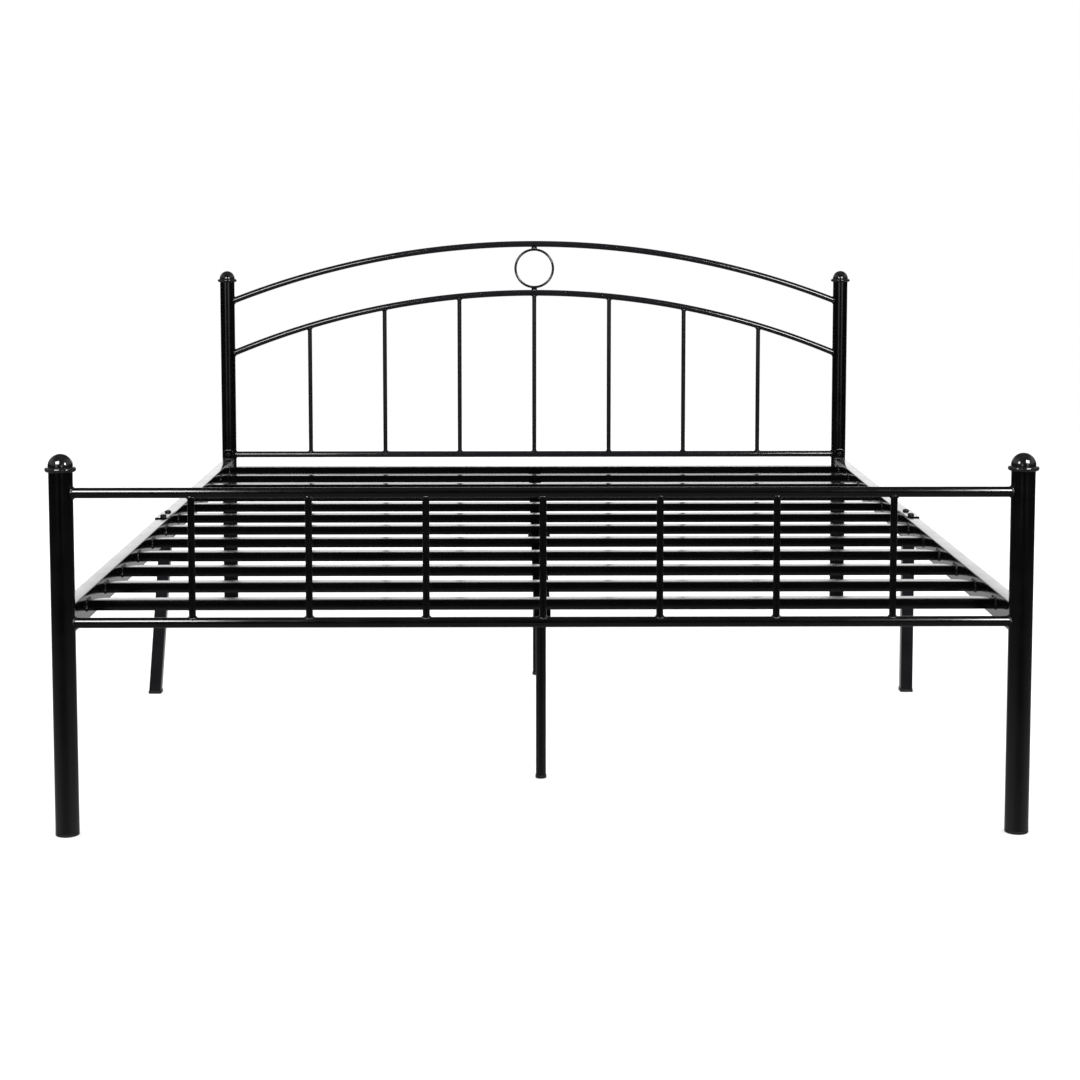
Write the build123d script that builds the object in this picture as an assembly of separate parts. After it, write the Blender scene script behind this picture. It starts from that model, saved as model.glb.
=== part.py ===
from build123d import *
from math import asin, cos, degrees, radians, sqrt
import os

# A double bed frame of black powder-coated steel tube: a footboard, an arched headboard,
# two side rails in halves, twelve slats, a centre beam, and legs under the rails and beam.
# Millimetres. X runs across the bed, Y from the foot to the head, Z up from the floor.

# Plan of the frame, measured between the axes of the corner posts
post_spacing = 1640
post_line_length = 2050

# Corner posts, their rise above the top rail or arch, and their domed caps and floor plugs
foot_post_diameter = 41
head_post_diameter = 38
foot_post_rise = 36.5
head_post_rise = 49
post_wall = 1.5
cap_rim_overhang = 6
cap_rim_height = 8.4
cap_rim_rounding = 0.45  # share of the rim's height in each rounded edge
cap_neck_height = 1
cap_dome_overhang = 0.75
plug_height = 5
plug_edge_radius = 1.5
spigot_length = 22
spigot_clearance = 0.2

# Welded round tube ends stop short of the tube that they meet by the root of the weld
weld_gap = 0.2

# Footboard rails and spindles
foot_rail_diameter = 18
foot_upper_rail_height = 594
foot_lower_rail_height = 370
foot_spindle_diameter = 12
round_rail_wall = 1.2
spindle_wall = 1
spindle_count = 7

# Headboard arches, straight rail, spindles and ring
arch_diameter = 16
upper_arch_end_height = 821.5
upper_arch_apex_height = 972
arch_end_spacing = 140
arch_apex_spacing = 130.5
arch_straight_end = 40
head_rail_diameter = 16
head_rail_height = 407
head_spindle_diameter = 11
ring_rod_diameter = 6.4
ring_nub_diameter = 14.5
ring_nub_height = 4

# Side rails of rectangular tube
side_rail_width = 26
side_rail_height = 50
side_rail_wall = 1.5
side_rail_top = 397
rail_corner_radius = 1.5
least_inner_corner = 0.25  # share of the outer corner radius, where the wall is thick
rail_joint_gap = 0.5

# Slats of flat tube between the side rails
slat_count = 12
slat_width = 30
slat_height = 18
slat_wall = 1.2
slat_corner_radius = 1
slat_drop = 13.5
first_slat_offset = 143
last_slat_offset = 80

# Centre beam under the slats, and the channel that joins its halves
beam_width = 30
beam_height = 20
beam_wall = 1.5
beam_corner_radius = 1.5
channel_thickness = 2
channel_length = 100
channel_rim_drop = 3

# Plates that bolt the side rails to the posts
end_plate_thickness = 4
end_plate_reach = 25
end_plate_corner_radius = 8
end_bolt_offset = 11

# Round-head bolts and nuts
bolt_diameter = 8
bolt_clearance = 0.25
bolt_head_diameter = 14
bolt_head_height = 4.4
end_bolt_grip = 14
nut_across_flats = 13
nut_height = 6.5
bolt_tip = 3

# Joint near the middle of each side rail: an angle on top, a leg plate below, two bolts through
joint_behind_middle = 10
angle_thickness = 2.5
angle_length = 100
angle_setback = 0.5
angle_corner_radius = 8
angle_bend_rounding = 0.9  # share of the thickness
joint_bolt_spacing = 60
beam_bolt_spacing = 60

# Side legs of square tube; the left one stands splayed outwards at the floor
side_leg_width = 26
side_leg_wall = 1.5
side_leg_corner_radius = 2.5
leg_plate_thickness = 3
left_leg_splay = 28
right_leg_splay = 0

# Centre legs of round tube, screwed to the beam by a stud
centre_leg_diameter = 19
centre_leg_wall = 1.2
front_leg_before_joint = 688.5
rear_leg_behind_joint = 168
leg_socket_depth = 14
leg_stud_length = 28
foot_pad_height = 6
foot_pad_overhang = 1
foot_pad_edge_radius = 1.2

# Places worked out from the sizes above
foot_line = -post_line_length / 2
head_line = post_line_length / 2
post_x = post_spacing / 2
foot_post_radius = foot_post_diameter / 2
head_post_radius = head_post_diameter / 2
foot_post_top = foot_upper_rail_height + foot_post_rise
head_post_top = upper_arch_end_height + head_post_rise
lower_arch_end_height = upper_arch_end_height - arch_end_spacing
lower_arch_apex_height = upper_arch_apex_height - arch_apex_spacing
ring_outer_diameter = arch_apex_spacing - arch_diameter - 2 * ring_nub_height
side_rail_bottom = side_rail_top - side_rail_height
rail_inner_x = post_x - side_rail_width / 2
rail_outer_x = post_x + side_rail_width / 2
slat_top = side_rail_top - slat_drop
slat_bottom = slat_top - slat_height
first_slat_y = foot_line + first_slat_offset
last_slat_y = head_line - last_slat_offset
slat_pitch = (last_slat_y - first_slat_y) / (slat_count - 1)
joint_y = (foot_line + head_line) / 2 + joint_behind_middle
beam_top = slat_bottom
beam_bottom = beam_top - beam_height
beam_front_y = first_slat_y - slat_width / 2
beam_rear_y = last_slat_y + slat_width / 2
foot_plate_face = foot_line + foot_post_radius + weld_gap
head_plate_face = head_line - head_post_radius - weld_gap
front_rail_y = foot_plate_face + end_plate_thickness
rear_rail_y = head_plate_face - end_plate_thickness
hole_diameter = bolt_diameter + 2 * bolt_clearance

SIDES = {"left": -1, "right": 1}


def rod(diameter, start, end):
    """A solid round bar between two points."""
    axis = Vector(*end) - Vector(*start)
    plane = Plane(origin=start, z_dir=axis)
    return extrude(plane * Circle(diameter / 2), amount=axis.length)


def tube(diameter, wall, start, end):
    """A round tube between two points."""
    axis = Vector(*end) - Vector(*start)
    plane = Plane(origin=start, z_dir=axis)
    section = Circle(diameter / 2) - Circle(diameter / 2 - wall)
    return extrude(plane * section, amount=axis.length)


def flat_tube_section(width, height, wall, corner):
    """The section of a rectangular tube with rounded edges."""
    inner_corner = max(corner - wall, corner * least_inner_corner)
    return RectangleRounded(width, height, corner) - RectangleRounded(
        width - 2 * wall, height - 2 * wall, inner_corner
    )


def along_y(section, x, z, start_y, end_y):
    """A section drawn in the XZ plane, run from one Y to another."""
    plane = Plane(origin=(x, end_y, z), x_dir=(1, 0, 0), z_dir=(0, -1, 0))
    return extrude(plane * section, amount=end_y - start_y)


def along_x(section, y, z, start_x, end_x):
    """A section drawn in the YZ plane, run from one X to another."""
    plane = Plane(origin=(start_x, y, z), x_dir=(0, 1, 0), z_dir=(1, 0, 0))
    return extrude(plane * section, amount=end_x - start_x)


def leaning(section, x, y, bottom, top, lean):
    """A level section run upwards; it leans by lean millimetres in X per millimetre of height."""
    rise = Vector(lean, 0, 1)
    plane = Plane(origin=(x, y, bottom))
    return extrude(plane * section, amount=(top - bottom) * rise.length, dir=rise.normalized())


def post_cap(diameter, x, y, post_top):
    """A moulded cap: a spigot in the post, a rounded rim on its end and a dome."""
    radius = diameter / 2
    dome_radius = radius + cap_dome_overhang
    neck_top = post_top + cap_rim_height + cap_neck_height
    spigot_radius = radius - post_wall - spigot_clearance
    rim = rod(diameter + 2 * cap_rim_overhang, (x, y, post_top), (x, y, post_top + cap_rim_height))
    rim = fillet(rim.edges().filter_by(GeomType.CIRCLE), cap_rim_height * cap_rim_rounding)
    neck = rod(2 * dome_radius, (x, y, post_top + cap_rim_height / 2), (x, y, neck_top))
    resting = (Align.CENTER, Align.CENTER, Align.MIN)
    dome = Pos(x, y, neck_top) * Sphere(dome_radius, arc_size1=0, align=resting)
    spigot = rod(2 * spigot_radius, (x, y, post_top - spigot_length), (x, y, post_top + cap_rim_height / 2))
    return rim + neck + dome + spigot


def floor_plug(diameter, x, y):
    """A moulded plug: a disc under the post with a spigot inside it."""
    spigot_radius = diameter / 2 - post_wall - spigot_clearance
    disc = rod(diameter, (x, y, 0), (x, y, plug_height))
    disc = fillet(disc.edges().group_by(Axis.Z)[0], plug_edge_radius)
    spigot = rod(2 * spigot_radius, (x, y, plug_height), (x, y, plug_height + spigot_length))
    return disc + spigot


def end_bolt_heights():
    """Heights of the two bolts of an end plate, above and below the side rail."""
    return side_rail_top + end_bolt_offset, side_rail_bottom - end_bolt_offset


def corner_post(diameter, top, x, y, towards_bed):
    """A post tube with the two holes that take the bolts of the side rail's end plate."""
    post = tube(diameter, post_wall, (x, y, plug_height), (x, y, top))
    for height in end_bolt_heights():
        post -= rod(hole_diameter, (x, y, height), (x, y + towards_bed * diameter, height))
    return post


def arch_circle(end_height, apex_height, half_span):
    """Radius and centre height of the arc through both arch ends and the apex."""
    rise = apex_height - end_height
    radius = (half_span**2 + rise**2) / (2 * rise)
    return radius, apex_height - radius


def arch_height(end_height, apex_height, half_span, x):
    """Height of an arch's centre line at x."""
    radius, centre_height = arch_circle(end_height, apex_height, half_span)
    return centre_height + sqrt(radius**2 - x**2)


def arch(section, end_height, apex_height, half_span, reach):
    """A section bent along the arch between two straight ends, out to reach on both sides."""
    radius, centre_height = arch_circle(end_height, apex_height, half_span)
    bend_angle = degrees(asin((reach - arch_straight_end) / radius))
    axis = Axis((0, head_line, centre_height), (0, 1, 0))
    outline = Plane(origin=(0, head_line, apex_height), z_dir=(1, 0, 0)) * section
    piece = revolve(outline, axis, revolution_arc=2 * bend_angle).rotate(axis, -bend_angle)
    for sign in SIDES.values():
        straight = extrude(outline, sign * arch_straight_end / cos(radians(bend_angle)))
        piece += straight.rotate(axis, sign * bend_angle)
    return piece


def round_head_bolt(length):
    """A bolt on the origin: its head above the seat, its shank running down."""
    crown_radius = (bolt_head_diameter**2 / 4 + bolt_head_height**2) / (2 * bolt_head_height)
    crown = Pos(0, 0, bolt_head_height - crown_radius) * Sphere(crown_radius)
    head = crown & rod(bolt_head_diameter, (0, 0, 0), (0, 0, bolt_head_height))
    return head + rod(bolt_diameter, (0, 0, -length), (0, 0, 0))


def nut():
    """A hexagon nut on the origin, running down from its seat."""
    hexagon = RegularPolygon(nut_across_flats / 2, 6, major_radius=False) - Circle(hole_diameter / 2)
    return extrude(hexagon, amount=-nut_height)


parts = {}

# Corner posts, caps and floor plugs
plugs = []
for side, sign in SIDES.items():
    x = sign * post_x
    parts[f"foot_post_{side}"] = corner_post(foot_post_diameter, foot_post_top, x, foot_line, 1)
    parts[f"head_post_{side}"] = corner_post(head_post_diameter, head_post_top, x, head_line, -1)
    parts[f"foot_cap_{side}"] = post_cap(foot_post_diameter, x, foot_line, foot_post_top)
    parts[f"head_cap_{side}"] = post_cap(head_post_diameter, x, head_line, head_post_top)
    plugs.append(floor_plug(foot_post_diameter, x, foot_line))
    plugs.append(floor_plug(head_post_diameter, x, head_line))
parts["post_floor_plugs"] = Compound(children=plugs)


def cut_at_posts(piece, post_diameter, y):
    """Shape both ends of a cross piece to the round posts."""
    for sign in SIDES.values():
        post_axis = (sign * post_x, y)
        piece -= rod(post_diameter + 2 * weld_gap, (*post_axis, 0), (*post_axis, head_post_top))
    return piece


def cross_rail(diameter, y, z, post_diameter):
    """A straight round rail between two posts."""
    rail = tube(diameter, round_rail_wall, (-post_x, y, z), (post_x, y, z))
    return cut_at_posts(rail, post_diameter, y)


def spindle_places(post_diameter):
    """X of each spindle, with equal gaps between the posts."""
    clear_width = post_spacing - post_diameter
    gap = clear_width / (spindle_count + 1)
    return [gap * (index + 1) - clear_width / 2 for index in range(spindle_count)]


# Footboard
parts["foot_upper_rail"] = cross_rail(
    foot_rail_diameter, foot_line, foot_upper_rail_height, foot_post_diameter
)
parts["foot_lower_rail"] = cross_rail(
    foot_rail_diameter, foot_line, foot_lower_rail_height, foot_post_diameter
)
foot_rail_room = foot_rail_diameter + 2 * weld_gap
for number, x in enumerate(spindle_places(foot_post_diameter), start=1):
    low = (x, foot_line, foot_lower_rail_height)
    high = (x, foot_line, foot_upper_rail_height)
    spindle = tube(foot_spindle_diameter, spindle_wall, low, high)
    for height in (foot_lower_rail_height, foot_upper_rail_height):
        beside = foot_spindle_diameter
        spindle -= rod(foot_rail_room, (x - beside, foot_line, height), (x + beside, foot_line, height))
    parts[f"foot_spindle_{number}"] = spindle

# Headboard
arch_half_span = post_x - head_post_radius
arch_section = Circle(arch_diameter / 2) - Circle(arch_diameter / 2 - round_rail_wall)
arch_room = Circle(arch_diameter / 2 + weld_gap)
arch_ends = {
    "upper": (upper_arch_end_height, upper_arch_apex_height),
    "lower": (lower_arch_end_height, lower_arch_apex_height),
}
for name, (end_height, apex_height) in arch_ends.items():
    bent = arch(arch_section, end_height, apex_height, arch_half_span, post_x)
    parts[f"head_{name}_arch"] = cut_at_posts(bent, head_post_diameter, head_line)
parts["head_lower_rail"] = cross_rail(
    head_rail_diameter, head_line, head_rail_height, head_post_diameter
)
lower_arch_room = arch(arch_room, *arch_ends["lower"], arch_half_span, post_x)
upper_arch_room = arch(arch_room, *arch_ends["upper"], arch_half_span, post_x)
head_rail_room = head_rail_diameter + 2 * weld_gap
for number, x in enumerate(spindle_places(head_post_diameter), start=1):
    low = (x, head_line, head_rail_height)
    high = (x, head_line, arch_height(*arch_ends["lower"], arch_half_span, x))
    spindle = tube(head_spindle_diameter, spindle_wall, low, high)
    beside = head_spindle_diameter
    rail_end = (x + beside, head_line, head_rail_height)
    spindle -= rod(head_rail_room, (x - beside, head_line, head_rail_height), rail_end)
    spindle -= lower_arch_room
    parts[f"head_spindle_{number}"] = spindle

# Ring between the arches, held by a weld nub above and below
ring_centre_height = (upper_arch_apex_height + lower_arch_apex_height) / 2
ring_radius = (ring_outer_diameter - ring_rod_diameter) / 2
ring_plane = Plane(origin=(0, head_line, ring_centre_height), z_dir=(0, 1, 0))
parts["head_ring"] = ring_plane * Torus(ring_radius, ring_rod_diameter / 2)
ring_room = ring_plane * Torus(ring_radius, ring_rod_diameter / 2 + weld_gap)
nubs = []
for apex, arch_space, sign in (
    (upper_arch_apex_height, upper_arch_room, 1),
    (lower_arch_apex_height, lower_arch_room, -1),
):
    rod_height = ring_centre_height + sign * ring_radius
    low, high = sorted((rod_height, apex))
    nub = rod(ring_nub_diameter, (0, head_line, low), (0, head_line, high))
    nubs.append(nub - arch_space - ring_room)
parts["ring_weld_nubs"] = Compound(children=nubs)

# Side rails in halves that meet at the joint, with holes for the joint bolts
rail_section = flat_tube_section(
    side_rail_width, side_rail_height, side_rail_wall, rail_corner_radius
)
rail_middle = (side_rail_top + side_rail_bottom) / 2
joint_bolt_places = (joint_y - joint_bolt_spacing / 2, joint_y + joint_bolt_spacing / 2)
for side, sign in SIDES.items():
    x = sign * post_x
    front = along_y(rail_section, x, rail_middle, front_rail_y, joint_y - rail_joint_gap / 2)
    rear = along_y(rail_section, x, rail_middle, joint_y + rail_joint_gap / 2, rear_rail_y)
    for bolt_y in joint_bolt_places:
        hole = rod(hole_diameter, (x, bolt_y, side_rail_bottom), (x, bolt_y, side_rail_top))
        front -= hole
        rear -= hole
    parts[f"side_rail_front_{side}"] = front
    parts[f"side_rail_rear_{side}"] = rear

# Slats, welded to the inner faces of the side rails
slat_section = flat_tube_section(slat_width, slat_height, slat_wall, slat_corner_radius)
slat_middle = (slat_top + slat_bottom) / 2
for index in range(slat_count):
    y = first_slat_y + index * slat_pitch
    slat = along_x(slat_section, y, slat_middle, -rail_inner_x, rail_inner_x)
    parts[f"slat_{index + 1:02d}"] = slat

# Centre beam in halves, with holes for the channel bolts and the leg studs
beam_section = flat_tube_section(beam_width, beam_height, beam_wall, beam_corner_radius)
beam_middle = (beam_top + beam_bottom) / 2
beam_bolt_places = (joint_y - beam_bolt_spacing / 2, joint_y + beam_bolt_spacing / 2)
leg_places = {"front": joint_y - front_leg_before_joint, "rear": joint_y + rear_leg_behind_joint}
beam_ends = {
    "front": (beam_front_y, joint_y - rail_joint_gap / 2),
    "rear": (joint_y + rail_joint_gap / 2, beam_rear_y),
}
for half, (start_y, end_y) in beam_ends.items():
    beam = along_y(beam_section, 0, beam_middle, start_y, end_y)
    for bolt_y in beam_bolt_places:
        beam -= rod(hole_diameter, (-beam_width, bolt_y, beam_middle), (beam_width, bolt_y, beam_middle))
    for leg_y in leg_places.values():
        beam -= rod(hole_diameter, (0, leg_y, beam_bottom - beam_wall), (0, leg_y, beam_middle))
    parts[f"centre_beam_{half}"] = beam

# Channel under the beam joint, bolted through from the side
channel_outer_width = beam_width + 2 * channel_thickness
channel_bottom = beam_bottom - channel_thickness
channel_depth = beam_top - channel_rim_drop - channel_bottom
channel_section = Pos(0, channel_depth / 2) * Rectangle(channel_outer_width, channel_depth)
channel_section -= Pos(0, channel_thickness + beam_height / 2) * Rectangle(beam_width, beam_height)
channel_start = joint_y - channel_length / 2
channel = along_y(channel_section, 0, channel_bottom, channel_start, channel_start + channel_length)
for bolt_y in beam_bolt_places:
    reach = channel_outer_width
    channel -= rod(hole_diameter, (-reach, bolt_y, beam_middle), (reach, bolt_y, beam_middle))
parts["beam_joining_channel"] = channel

# End plates, welded to the side rails and bolted to the posts
plate_height = side_rail_height + 2 * end_plate_reach
plate_section = RectangleRounded(side_rail_width, plate_height, end_plate_corner_radius)
end_plates = []
for sign in SIDES.values():
    x = sign * post_x
    for start_y, end_y in ((foot_plate_face, front_rail_y), (rear_rail_y, head_plate_face)):
        plate = along_y(plate_section, x, rail_middle, start_y, end_y)
        for height in end_bolt_heights():
            plate -= rod(hole_diameter, (x, start_y, height), (x, end_y, height))
        end_plates.append(plate)
parts["rail_end_plates"] = Compound(children=end_plates)

# Joining angles over the rail joints, and the leg plates under them
angle_start = joint_y - angle_length / 2
angle_top = side_rail_top + angle_thickness
top_flange_width = side_rail_width - angle_setback + angle_thickness
top_flange = Rectangle(top_flange_width, angle_length)
leg_plate_top = side_rail_bottom
leg_plate_bottom = leg_plate_top - leg_plate_thickness
leg_plates = []
for side, sign in SIDES.items():
    outer_face = sign * (rail_outer_x + angle_thickness)
    flange_x = outer_face - sign * top_flange_width / 2
    flange = extrude(Plane(origin=(flange_x, joint_y, side_rail_top)) * top_flange, amount=angle_thickness)
    inner_edges = flange.edges().filter_by(Axis.Z).group_by(Axis.X)[0 if sign > 0 else -1]
    flange = fillet(inner_edges, angle_corner_radius)
    skirt_x = sign * (rail_outer_x + angle_thickness / 2)
    skirt_section = Pos(0, -side_rail_height / 2) * Rectangle(angle_thickness, side_rail_height)
    skirt = along_y(skirt_section, skirt_x, side_rail_top, angle_start, angle_start + angle_length)
    angle = flange + skirt
    bend = angle.edges().filter_by(Axis.Y).group_by(Axis.Z)[-1].sort_by(Axis.X)
    angle = fillet(bend[-1 if sign > 0 else 0], angle_thickness * angle_bend_rounding)
    leg_plate = extrude(
        Plane(origin=(sign * post_x, joint_y, leg_plate_bottom))
        * RectangleRounded(side_rail_width, angle_length, rail_corner_radius),
        amount=leg_plate_thickness,
    )
    for bolt_y in joint_bolt_places:
        low = (sign * post_x, bolt_y, leg_plate_bottom)
        hole = rod(hole_diameter, low, (sign * post_x, bolt_y, angle_top))
        angle -= hole
        leg_plate -= hole
    parts[f"joining_angle_{side}"] = angle
    leg_plates.append(leg_plate)
parts["side_leg_plates"] = Compound(children=leg_plates)

# Side legs under the leg plates, with moulded feet
leg_section = flat_tube_section(side_leg_width, side_leg_width, side_leg_wall, side_leg_corner_radius)
pad_width = side_leg_width + 2 * foot_pad_overhang
spigot_width = side_leg_width - 2 * (side_leg_wall + spigot_clearance)
leg_run = leg_plate_bottom - foot_pad_height
splays = {"left": left_leg_splay, "right": right_leg_splay}
feet = []
for side, sign in SIDES.items():
    lean = -sign * splays[side] / leg_run
    floor_x = sign * (post_x + splays[side])
    leg = leaning(leg_section, floor_x, joint_y, foot_pad_height, leg_plate_bottom, lean)
    parts[f"side_leg_{side}"] = leg
    pad_section = RectangleRounded(pad_width, pad_width, side_leg_corner_radius)
    pad = extrude(Plane(origin=(floor_x, joint_y, 0)) * pad_section, amount=foot_pad_height)
    pad = fillet(pad.edges().group_by(Axis.Z)[0], foot_pad_edge_radius)
    spigot_section = RectangleRounded(spigot_width, spigot_width, side_leg_corner_radius)
    spigot_top = foot_pad_height + spigot_length
    feet.append(pad + leaning(spigot_section, floor_x, joint_y, foot_pad_height, spigot_top, lean))

# Centre legs: a tube with a threaded upper end, a stud into the beam and a moulded foot
studs = []
for name, leg_y in leg_places.items():
    leg = rod(centre_leg_diameter, (0, leg_y, foot_pad_height), (0, leg_y, beam_bottom))
    bore = centre_leg_diameter - 2 * centre_leg_wall
    leg -= rod(bore, (0, leg_y, foot_pad_height), (0, leg_y, beam_bottom - leg_socket_depth))
    leg -= rod(hole_diameter, (0, leg_y, foot_pad_height), (0, leg_y, beam_bottom))
    parts[f"centre_leg_{name}"] = leg
    stud_bottom = beam_bottom - leg_socket_depth
    studs.append(rod(bolt_diameter, (0, leg_y, stud_bottom), (0, leg_y, stud_bottom + leg_stud_length)))
    pad = rod(centre_leg_diameter + 2 * foot_pad_overhang, (0, leg_y, 0), (0, leg_y, foot_pad_height))
    pad = fillet(pad.edges().group_by(Axis.Z)[0], foot_pad_edge_radius)
    spigot_diameter = bore - 2 * spigot_clearance
    feet.append(pad + rod(spigot_diameter, (0, leg_y, 0), (0, leg_y, foot_pad_height + spigot_length)))
parts["leg_feet"] = Compound(children=feet)

# Bolts and nuts
bolts = list(studs)
nuts = []
end_bolt = round_head_bolt(end_bolt_grip)
joint_bolt = round_head_bolt(angle_top - leg_plate_bottom + nut_height + bolt_tip)
beam_bolt = round_head_bolt(channel_outer_width + nut_height + bolt_tip)
for sign in SIDES.values():
    x = sign * post_x
    for height in end_bolt_heights():
        bolts.append(Pos(x, front_rail_y, height) * Rot(-90, 0, 0) * end_bolt)
        bolts.append(Pos(x, rear_rail_y, height) * Rot(90, 0, 0) * end_bolt)
    for bolt_y in joint_bolt_places:
        bolts.append(Pos(x, bolt_y, angle_top) * joint_bolt)
        nuts.append(Pos(x, bolt_y, leg_plate_bottom) * nut())
for bolt_y in beam_bolt_places:
    bolts.append(Pos(-channel_outer_width / 2, bolt_y, beam_middle) * Rot(0, -90, 0) * beam_bolt)
    nuts.append(Pos(channel_outer_width / 2, bolt_y, beam_middle) * Rot(0, -90, 0) * nut())
parts["frame_bolts"] = Compound(children=bolts)
parts["frame_nuts"] = Compound(children=nuts)

os.makedirs("parts", exist_ok=True)
for name, shape in parts.items():
    export_step(shape, f"parts/{name}.step")
print(len(parts), "nodes")
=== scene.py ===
from math import asin, cos, pi, radians, sin, sqrt
import bmesh
import bpy
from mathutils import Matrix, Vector


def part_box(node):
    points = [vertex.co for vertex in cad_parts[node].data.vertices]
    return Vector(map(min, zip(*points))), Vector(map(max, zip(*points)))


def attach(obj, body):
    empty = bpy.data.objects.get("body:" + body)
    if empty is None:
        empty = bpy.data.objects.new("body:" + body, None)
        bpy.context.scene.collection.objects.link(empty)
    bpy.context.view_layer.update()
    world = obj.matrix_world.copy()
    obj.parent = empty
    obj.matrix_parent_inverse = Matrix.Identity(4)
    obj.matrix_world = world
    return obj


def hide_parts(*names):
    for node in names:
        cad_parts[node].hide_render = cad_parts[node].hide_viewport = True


# A double bed frame of black powder-coated steel tube, bolted together from a footboard, an arched
# headboard, side rails with welded slats, a centre beam and legs. Metres; X runs across the bed,
# Y from the foot to the head, Z up from the floor.
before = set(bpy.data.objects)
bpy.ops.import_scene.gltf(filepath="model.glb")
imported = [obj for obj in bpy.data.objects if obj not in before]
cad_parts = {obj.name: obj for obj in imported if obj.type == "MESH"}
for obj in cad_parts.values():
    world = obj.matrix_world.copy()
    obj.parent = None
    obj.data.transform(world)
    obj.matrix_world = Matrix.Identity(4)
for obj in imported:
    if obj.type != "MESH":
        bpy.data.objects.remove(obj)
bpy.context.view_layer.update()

# Footboard posts
# Two upright round tubes of seam-welded mild steel, cut square at both ends. They are coated
# black together with the rails and spindles that are welded between them.
MM = 0.001
post_wall = 1.5 * MM
post_segments = 72


def linear(hex_colour):
    """An sRGB hex colour as the linear colour that a socket takes."""
    channels = [int(hex_colour[place : place + 2], 16) / 255 for place in (1, 3, 5)]
    return (*[c / 12.92 if c <= 0.04045 else ((c + 0.055) / 1.055) ** 2.4 for c in channels], 1)


def add_node(tree, kind, feeds=None, **settings):
    """Add a node with its settings; feeds gives an input a plain value or the output that feeds it."""
    node = tree.nodes.new(kind)
    for name, value in settings.items():
        setattr(node, name, value)
    for socket, value in (feeds or {}).items():
        if isinstance(value, bpy.types.NodeSocket):
            tree.links.new(value, node.inputs[socket])
        else:
            node.inputs[socket].default_value = value
    return node


def new_material(name):
    """An empty material, its node tree and the Object coordinates that its patterns read."""
    material = bpy.data.materials.new(name)
    material.use_nodes = True
    material.node_tree.nodes.clear()
    place = add_node(material.node_tree, "ShaderNodeTexCoord").outputs["Object"]
    return material, material.node_tree, place


def close_material(material, feeds):
    """Finish a material by the surface that its patterns and constants feed."""
    surface = add_node(material.node_tree, "ShaderNodeBsdfPrincipled", feeds)
    add_node(material.node_tree, "ShaderNodeOutputMaterial", {"Surface": surface.outputs["BSDF"]})
    return material


def powder_coated_steel():
    """Polyester powder baked on steel: a deep black, semi-gloss film with a slight orange peel.

    The peel of real powder is about 2 mm from crest to crest. It is drawn at 7 mm, so that it
    shows as a faint unevenness along the highlights.
    """
    peel_width = 7 * MM
    peel_height = 0.0015 * MM
    cloud_width = 60 * MM
    material, tree, place = new_material("black_powder_coat_baked")
    peel = add_node(
        tree, "ShaderNodeTexNoise", {"Vector": place, "Scale": 1 / peel_width, "Detail": 1.5}
    )
    clouds = add_node(
        tree, "ShaderNodeTexNoise", {"Vector": place, "Scale": 1 / cloud_width, "Detail": 4}
    )
    gloss = add_node(
        tree,
        "ShaderNodeMapRange",
        {"Value": clouds.outputs["Fac"], "From Min": 0.3, "From Max": 0.7, "To Min": 0.12, "To Max": 0.17},
    )
    tone = add_node(
        tree,
        "ShaderNodeMix",
        {"Factor": clouds.outputs["Fac"], "A": linear("#030304"), "B": linear("#060607")},
        data_type="RGBA",
    )
    relief = add_node(
        tree,
        "ShaderNodeBump",
        {"Height": peel.outputs["Fac"], "Strength": 1, "Distance": peel_height},
    )
    feeds = {
        "Base Color": tone.outputs["Result"],
        "Roughness": gloss.outputs["Result"],
        "Normal": relief.outputs["Normal"],
        "IOR": 1.5,
    }
    return close_material(material, feeds)


def skin(rings, looped=False):
    """Points and faces of a skin over rings of points; it is looped, or closed by two end faces."""
    count = len(rings[0])
    points = [point for ring in rings for point in ring]
    faces = []
    for row in range(len(rings) if looped else len(rings) - 1):
        here, there = row * count, (row + 1) % len(rings) * count
        for place in range(count):
            beside = (place + 1) % count
            faces.append((here + place, here + beside, there + beside, there + place))
    if not looped:
        faces.append(tuple(range(count)))
        faces.append(tuple(range(len(points) - count, len(points))))
    return points, faces


def tube(ring, wall, steps=1):
    """A hollow tube; ring(inset, along) gives its section at a share along, inset from the surface."""
    outside = [ring(0, step / steps) for step in range(steps + 1)]
    inside = [ring(wall, 1 - step / steps) for step in range(steps + 1)]
    return skin(outside + inside, looped=True)


def circle(radius, segments):
    """Points round a circle on the origin."""
    angles = [2 * pi * place / segments for place in range(segments)]
    return [(radius * cos(angle), radius * sin(angle)) for angle in angles]


def fit(piece, finish, nodes=()):
    """Give a piece the material of its finish, which is a material and a slot; the slot is not used. Let the
    piece ride and stand for its nodes.
    """
    material, slot = finish
    piece.data.materials.clear()
    piece.data.materials.append(material)
    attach(piece, "root")
    if nodes:
        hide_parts(*nodes)


def mesh_of(name, shells, crease=35):
    """A mesh of closed shells with outward faces, smooth up to the crease angle in degrees."""
    shape = bmesh.new()
    for points, faces in shells:
        corners = [shape.verts.new(point) for point in points]
        for face in faces:
            shape.faces.new([corners[place] for place in face])
    bmesh.ops.recalc_face_normals(shape, faces=shape.faces)
    mesh = bpy.data.meshes.new(name)
    shape.to_mesh(mesh)
    shape.free()
    mesh.shade_smooth()
    mesh.set_sharp_from_angle(angle=radians(crease))
    return mesh


def new_object(name, data):
    """A new object in the scene."""
    thing = bpy.data.objects.new(name, data)
    bpy.context.scene.collection.objects.link(thing)
    return thing


def make_piece(name, shells, finish, nodes):
    """Make a finished piece from closed shells that are already in place."""
    fit(new_object(name, mesh_of(name, shells)), finish, nodes)


def upright(node):
    """The middle of an upright round node and its radius."""
    low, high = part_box(node)
    return (low + high) / 2, (high.x - low.x) / 2


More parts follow.
